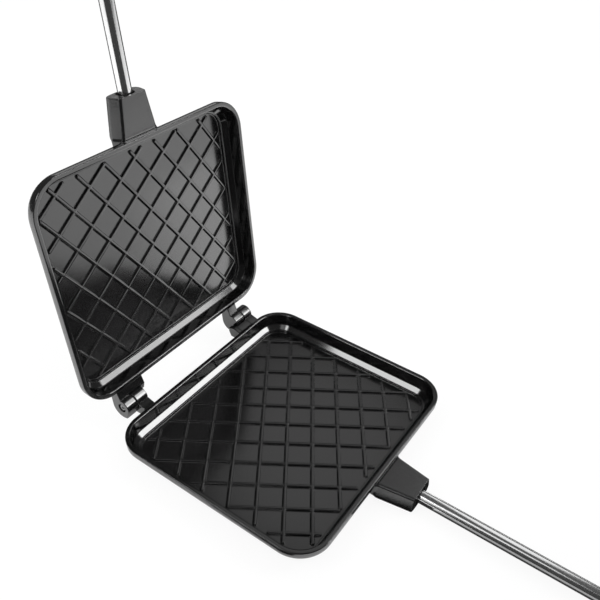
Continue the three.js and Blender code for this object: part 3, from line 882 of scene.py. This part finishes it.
def grip_ring(y, half_wide, bottom, top_drop=0.0):
    """Half-round section, flat on top, with its top edges rounded."""
    top = GRIP_TOP - top_drop
    waist = min((top + bottom) / 2, top - GRIP_EDGE)
    steps = 32
    back = []
    for i in range(steps + 1):
        a = i * math.pi / steps
        back.append((-half_wide * math.cos(a), waist - (waist - bottom) * math.sin(a)))
    edge = min(GRIP_EDGE, (top - waist) * 0.9)
    face = round_corners([
        (half_wide, waist, 0), (half_wide, top, edge), (-half_wide, top, edge), (-half_wide, waist, 0),
    ], 5)
    outline = face[:-1] + back[:-1]
    return [(x, y, z) for x, z in outline]


def grip_mesh():
    straight = GRIP_FRONT_Y - BAIL_Y
    outline = GRIP_WIDTHS + [(1 + place * TAIL_LENGTH / straight, wide) for place, wide in TAIL_WIDTHS]
    rings = [
        grip_ring(GRIP_FRONT_Y - run, wide * GRIP_HALF, GRIP_BOTTOM + rise, drop)
        for run, wide, rise, drop in GRIP_FRONT
    ]
    steps = 44
    arc_z = 2 * AXIS_Z - BAIL_Z
    last = outline[-1][0]
    for i in range(1, steps + 1):
        place = 0.02 + (last - 0.02) * i / steps
        y = GRIP_FRONT_Y - place * straight
        bottom = GRIP_BOTTOM
        if y < BAIL_Y:
            bottom = arc_z - math.sqrt(TAIL_RADIUS ** 2 - (BAIL_Y - y) ** 2)
        rings.append(grip_ring(y, eased(outline, place) * GRIP_HALF, bottom))
    data = Shell().loft(rings).mesh("grip")
    tools = [
        rod_shape(ROD_RADIUS + FIT, 2 * (ROD_IN_GRIP + FIT), "y", (0, GRIP_FRONT_Y, ROD_Z)),
        rod_shape(SPIGOT_RADIUS + FIT, 2 * (SPIGOT_LENGTH + FIT), "y", (0, GRIP_FRONT_Y, ROD_Z)),
        rod_shape(HANG_RADIUS, HANG_CUT, "z", (0, HANG_Y, GRIP_TOP), 64),
    ]
    sink = SCREW_HEIGHT + SCREW_SINK
    for y in SCREW_Y:
        tools.append(rod_shape(SCREW_HEAD + FIT, 2 * sink, "z", (0, y, GRIP_TOP)))
        tools.append(rod_shape(SCREW_RADIUS + FIT, 2 * (GRIP_TOP - ROD_Z), "z", (0, y, GRIP_TOP)))
    for side in (-1, 1):
        tools.append(rod_shape(WIRE + FIT, 2 * BAIL_STUB, "x", (side * GRIP_HALF, BAIL_Y, BAIL_Z)))
    return cut(data, tools)


def screw_mesh(y):
    top = GRIP_TOP - SCREW_SINK
    wide, long, depth = SCREW_CROSS
    neck, tip, brow = top - SCREW_HEIGHT, ROD_Z - SCREW_PAST_AXIS, top - SCREW_CROWN
    profile = [
        (0.0, tip), (SCREW_RADIUS, tip), (SCREW_RADIUS, neck), (SCREW_HEAD, neck), (SCREW_HEAD, brow),
    ]
    for i in range(1, 7):
        a = i / 6 * math.pi / 2
        profile.append((SCREW_HEAD - SCREW_CROWN * (1 - math.cos(a)), brow + SCREW_CROWN * math.sin(a)))
    profile.append((0.0, top))
    data = Shell().loft(turned(profile, "z", (0, y, 0), 48)).mesh("screw")

    def bar(half_x, half_y):
        ring = [(half_x, half_y), (-half_x, half_y), (-half_x, -half_y), (half_x, -half_y)]
        return Shell().loft([[(a, y + b, top + dz) for a, b in ring] for dz in (-depth, depth)])

    return cut(cut(data, [bar(wide, long)]), [bar(long, wide)])


# Bail

def bent_path(corners, bends):
    """A path through corners with round bends."""
    steps = 8
    made = [Vector(corners[0])]
    for i in range(1, len(corners) - 1):
        here = Vector(corners[i])
        back = (Vector(corners[i - 1]) - here).normalized() * bends[i - 1]
        ahead = (Vector(corners[i + 1]) - here).normalized() * bends[i - 1]
        for k in range(steps + 1):
            t = k / steps
            made.append((here + back) * (1 - t) ** 2 + here * 2 * t * (1 - t) + (here + ahead) * t ** 2)
    made.append(Vector(corners[-1]))
    return made


def wire_mesh(path, radius):
    """Round wire along a path that lies flat, with eased ends."""
    rings = []
    total, sides = len(path), 20
    for i, p in enumerate(path):
        ahead = (path[min(i + 1, total - 1)] - path[max(i - 1, 0)]).normalized()
        across = Vector((0, 0, 1)).cross(ahead)
        rings.append((p, across, radius))
    first, last = rings[0], rings[-1]
    start_dir = (path[0] - path[1]).normalized()
    end_dir = (path[-1] - path[-2]).normalized()
    rings[0] = (first[0] - start_dir * WIRE_EASE, first[1], radius)
    rings[-1] = (last[0] - end_dir * WIRE_EASE, last[1], radius)
    rings.insert(0, (first[0], first[1], radius - WIRE_EASE))
    rings.append((last[0], last[1], radius - WIRE_EASE))
    made = []
    for p, across, r in rings:
        ring = []
        for k in range(sides):
            a = 2 * math.pi * k / sides
            q = p + across * r * math.cos(a) + Vector((0, 0, 1)) * r * math.sin(a)
            ring.append(tuple(q))
        made.append(ring)
    return Shell().loft(made).mesh("bail")


def bail_mesh():
    leg_x = GRIP_HALF + FIT + WIRE
    stub_x = leg_x - BAIL_STUB
    corners = [
        (-stub_x, 0, 0), (-leg_x, 0, 0), (-leg_x, BAIL_LEG, 0),
        (leg_x, BAIL_LEG, 0), (leg_x, 0, 0), (stub_x, 0, 0),
    ]
    return wire_mesh(bent_path(corners, BAIL_BENDS), WIRE)


# The two halves

def half(side, section, place):
    body = f"{side}_half"
    pan_piece(f"{side}_casting", section, body, place)
    parts = [
        ("tube", rod_mesh(), BRIGHT, f"{side}_rod", "bright_steel"),
        ("socket_spring_pin", socket_pin_mesh(), PLAIN, f"{side}_socket_pin", "pin_steel"),
        ("collar", ferrule_mesh(), BRIGHT, f"{side}_ferrule", "bright_steel"),
        ("grip_half", grip_mesh(), GRIP, f"{side}_grip", "black_phenolic"),
        ("front_screw", screw_mesh(SCREW_Y[0]), BRIGHT, f"{side}_grip_screw_front", "bright_steel"),
        ("rear_screw", screw_mesh(SCREW_Y[1]), BRIGHT, f"{side}_grip_screw_rear", "bright_steel"),
    ]
    for name, data, material, node, slot in parts:
        piece(f"{side}_{name}", data, material, body, [node], place)


half("lower", plain_section(), Matrix.Identity(4))
half("upper", stop_section(), OPENED)
piece("right_spring_pin", hinge_pin_mesh(), PLAIN, "lower_half", ["right_hinge_pin"])
piece("left_spring_pin", hinge_pin_mesh(), PLAIN, "upper_half", ["left_hinge_pin"], OPENED)
bail_place = (
    Matrix.Translation(Vector((0, BAIL_Y, BAIL_Z)) * MM)
    @ Matrix.Rotation(BAIL_REST, 4, "X")
    @ Matrix.Rotation(math.pi, 4, "Z")
)
piece("wire_bail", bail_mesh(), BRIGHT, "bail", ["locking_bail"], bail_place)

# The rod cores keep the shape of the CAD
for node in ("lower_rod_core", "upper_rod_core"):
    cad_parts[node].data.materials.clear()
    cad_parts[node].data.materials.append(PLAIN)


# Stage: floor, lamps, world and camera

AMBIENT = 1.1
FLOOR_GLOW = 0.9
FLOOR_REACH = 6.0
TENT_RADIUS = 3.0
TENT_DARK = 0.1
TENT_PATCHES = [((30, 50.5), 0.9744, 0.9955, 0.4)]
CARD_LIFT = 0.0005
# Glowing floor strips that paint a pool of lamp light seen in reflections: their levels and where they lie
LIGHT_POOL_LEVELS = (1.3, 1.45, 1.6, 1.75)
LIGHT_POOL_START = 0.06
LIGHT_POOL_STRIP = 0.02
LIGHT_POOL_END = 0.4
LIGHT_POOL_OUT = 0.15
LIGHT_POOL_BACK = 0.0375
KEY_AIM = (0, 0.06, 0.02)
KEY_ROLL = -25.0
BACK_AIM = (0.067, 0.0, 0.007)
CAMERA_PLACE = (-0.230108, -0.156088, 0.308711)


def floor_finish():
    """White floor; to the camera it glows, so that only a trace of the shadow is left on it."""
    f = Finish(bpy.data.materials.new("white_floor"))
    seen = f.node("ShaderNodeLightPath", output="Is Camera Ray")
    mottle = f.noise(f.place(), 4.0, 2.0)
    # Painted light: the floor is painted darker away from the pans towards -Y, a painted falloff of the
    # lamps' pool of light; it shows mostly in reflections.
    far = f.step(f.part(f.place(), "Y"), 0.02, -0.16)
    white = f.between(0.9 * far + 0.1 * mottle, grey(0.95), grey(0.72))
    lit = f.node("ShaderNodeBsdfDiffuse", None, {"Color": white})
    glow = f.node("ShaderNodeEmission", None, {"Color": grey(1.0), "Strength": 1.0})
    mixed = f.node("ShaderNodeMixShader", None, (seen * FLOOR_GLOW, lit, glow))
    return f.surface(mixed)


def sky_finish(world):
    """Even studio light, white behind everything that the camera sees."""
    f = Finish(world)
    camera = f.node("ShaderNodeLightPath", output="Is Camera Ray")
    clear = f.node("ShaderNodeLightPath", output="Is Transmission Ray")
    seen = (camera + clear).math("MINIMUM", 1.0)
    strength = AMBIENT + (1.0 - AMBIENT) * seen
    shader = f.node("ShaderNodeBackground", None, {"Color": grey(1.0), "Strength": strength})
    return f.surface(shader)


def tent_finish():
    """Dark studio tent with soft bright patches; each has a middle, two cosines and a gain."""
    f = Finish(bpy.data.materials.new("tent"))
    ray = f.node("ShaderNodeVectorMath", {"operation": "NORMALIZE"}, (f.place(),))
    level = TENT_DARK
    for middle, edge, core, gain in TENT_PATCHES:
        pair = (ray, direction(*middle))
        side = f.node("ShaderNodeVectorMath", {"operation": "DOT_PRODUCT"}, pair, "Value")
        level = level + f.node("ShaderNodeMapRange", {"interpolation_type": "SMOOTHSTEP"}, {
            "Value": side, "From Min": edge, "From Max": core, "To Min": 0.0, "To Max": gain,
        })
    glow = f.node("ShaderNodeEmission", None, {"Color": grey(1.0), "Strength": level})
    return f.surface(glow)


def direction(azimuth, elevation):
    """Unit vector from two angles in degrees."""
    a, e = math.radians(azimuth), math.radians(elevation)
    return (math.cos(e) * math.cos(a), math.cos(e) * math.sin(a), math.sin(e))


def prop(name, data, material):
    """A studio prop that shows in reflections alone."""
    data.materials.append(material)
    made = in_scene(name, data)
    made.visible_camera = False
    made.visible_diffuse = False
    made.visible_transmission = False
    made.visible_shadow = False


def tent():
    radius, turns, rows = TENT_RADIUS / MM, 32, 10
    rings = []
    for i in range(rows):
        a = i / rows * math.pi / 2
        rings.append(circle(radius * math.cos(a), (0, 0, radius * math.sin(a)), "z", turns))
    prop("tent", Shell().loft(rings, (False, True)).mesh("tent"), tent_finish())


def card(name, corners, level):
    """A flat card that glows evenly."""
    f = Finish(bpy.data.materials.new(name))
    data = bpy.data.meshes.new(name)
    data.from_pydata(corners, [], [tuple(range(len(corners)))])
    glow = f.node("ShaderNodeEmission", None, {"Color": grey(1.0), "Strength": level})
    prop(name, data, f.surface(glow))


def standing(name, feet, high, level):
    """A card that stands between two feet."""
    (ax, ay), (bx, by) = feet
    card(name, [(ax, ay, 0), (bx, by, 0), (bx, by, high), (ax, ay, high)], level)


def lying(name, corners, level):
    """A card that lies on the floor."""
    card(name, [(x, y, CARD_LIFT) for x, y in corners], level)


def facing(name, centre, azimuths, elevations, distance, level):
    """A card whose corners lie in the given directions from a point."""
    (a, b), (low, high) = azimuths, elevations
    ways = ((a, low), (b, low), (b, high), (a, high))
    corners = [Vector(centre) + distance * Vector(direction(*way)) for way in ways]
    card(name, corners, level)


def lamp(name, centre, way, distance, size, radiance, roll=0.0):
    """A soft rectangular lamp of a given brightness, aimed at a point from a direction."""
    data = bpy.data.lights.new(name, "AREA")
    data.shape = "RECTANGLE"
    data.size, data.size_y = size
    data.energy = radiance * math.pi * size[0] * size[1]
    made = in_scene(name, data)
    out = Vector(direction(*way))
    made.location = Vector(centre) + distance * out
    made.rotation_mode = "QUATERNION"
    turn = Quaternion((0, 0, 1), math.radians(roll))
    made.rotation_quaternion = (-out).to_track_quat("-Z", "Y") @ turn
    made.visible_camera = False


def floor():
    data = bpy.data.meshes.new("floor")
    reach = FLOOR_REACH
    corners = [(-reach, -reach, 0), (reach, -reach, 0), (reach, reach, 0), (-reach, reach, 0)]
    data.from_pydata(corners, [], [(0, 1, 2, 3)])
    data.materials.append(floor_finish())
    in_scene("floor", data)


floor()
tent()
facing("right_card", (0, -0.1, 0), (-9, 15.5), (28, 80), 1.0, 1.0)
facing("left_card", (0, -0.1, 0), (162, 192), (14, 62), 0.8, 1.0)
facing("wall_card", (0, 0.1, 0.15), (34, 68), (9, 18), 0.5, 0.9)
standing("camera_card", ((-0.60, 0.02), (0.12, -0.62)), 0.5, 0.05)
for i, turn in enumerate((-12, 28, 68)):
    facing(f"far_card_{i}", (0, 0.1, 0.1), (turn, turn + 40), (-13.5, 8), 0.42, 0.05)
# Painted shadow: a dark sheet on the floor under the rod and grip stands for the shade there; it shows only
# in reflections.
lying("handle_card", [(-0.010, -0.31), (0.07, -0.31), (0.07, -0.092), (-0.010, -0.092)], 0.05)
# Painted shadow: a grey sheet on the floor beside the rod stands for the rod's shadow on the table; it
# shows only in reflections.
lying("painted_rod_shadow", [(-0.045, -0.31), (-0.010, -0.31), (-0.010, -0.095), (-0.045, -0.095)], 0.42)
# Painted shadow: a dark sheet on the floor round the lower socket stands for the shade under it; it shows
# only in reflections.
lying("socket_card", [(-0.028, -0.094), (0.02, -0.094), (0.02, -0.066), (-0.028, -0.066)], 0.03)
# Painted light: glowing strips on the floor right of the pans, brighter further out, stand for a pool of
# lamp light on the table; they show only in reflections.
for i, level in enumerate(LIGHT_POOL_LEVELS):
    near = LIGHT_POOL_START + LIGHT_POOL_STRIP * i
    far = near + LIGHT_POOL_STRIP if i < len(LIGHT_POOL_LEVELS) - 1 else LIGHT_POOL_END
    lying(f"painted_light_pool_{i}", [
        (near + LIGHT_POOL_OUT, -0.20), (far + LIGHT_POOL_OUT, -0.20),
        (far - LIGHT_POOL_BACK, 0.05), (near - LIGHT_POOL_BACK, 0.05),
    ], level)
# Painted shade: a dark sheet on the floor in front of and left of the pans stands for the shaded table
# there; it shows only in reflections.
lying("near_card", [
    (-0.045, -0.60), (-0.045, -0.115), (-0.0795, -0.075), (-0.081, 0.0), (-0.09, 0.06), (-0.60, 0.06),
], 0.03)
bpy.context.scene.world = bpy.data.worlds.new("studio")
sky_finish(bpy.context.scene.world)
lamp("key_low", KEY_AIM, (-54.2, 34.1), 1.05, (0.50, 0.147), 9.0, KEY_ROLL)
lamp("key_high", KEY_AIM, (-50.8, 42.9), 1.05, (0.42, 0.184), 5.0, KEY_ROLL)
lamp("back", BACK_AIM, (155, 44.5), 1.0, (0.40, 0.25), 6.0)

camera_data = bpy.data.cameras.new("camera")
camera_data.lens = 41.83
camera_data.sensor_width = 36.0
camera_data.clip_start = 0.01
camera = in_scene("camera", camera_data)
RIGHT = Vector((0.574093, -0.817886, 0.038465))
DOWN = Vector((-0.480943, -0.374860, -0.792574))
AHEAD = Vector((0.662655, 0.436512, -0.608561))
camera.matrix_world = Matrix.Translation(CAMERA_PLACE) @ Matrix((
    (RIGHT.x, -DOWN.x, -AHEAD.x),
    (RIGHT.y, -DOWN.y, -AHEAD.y),
    (RIGHT.z, -DOWN.z, -AHEAD.z),
)).to_4x4()
bpy.context.scene.camera = camera

bpy.context.scene.view_settings.view_transform = "Standard"
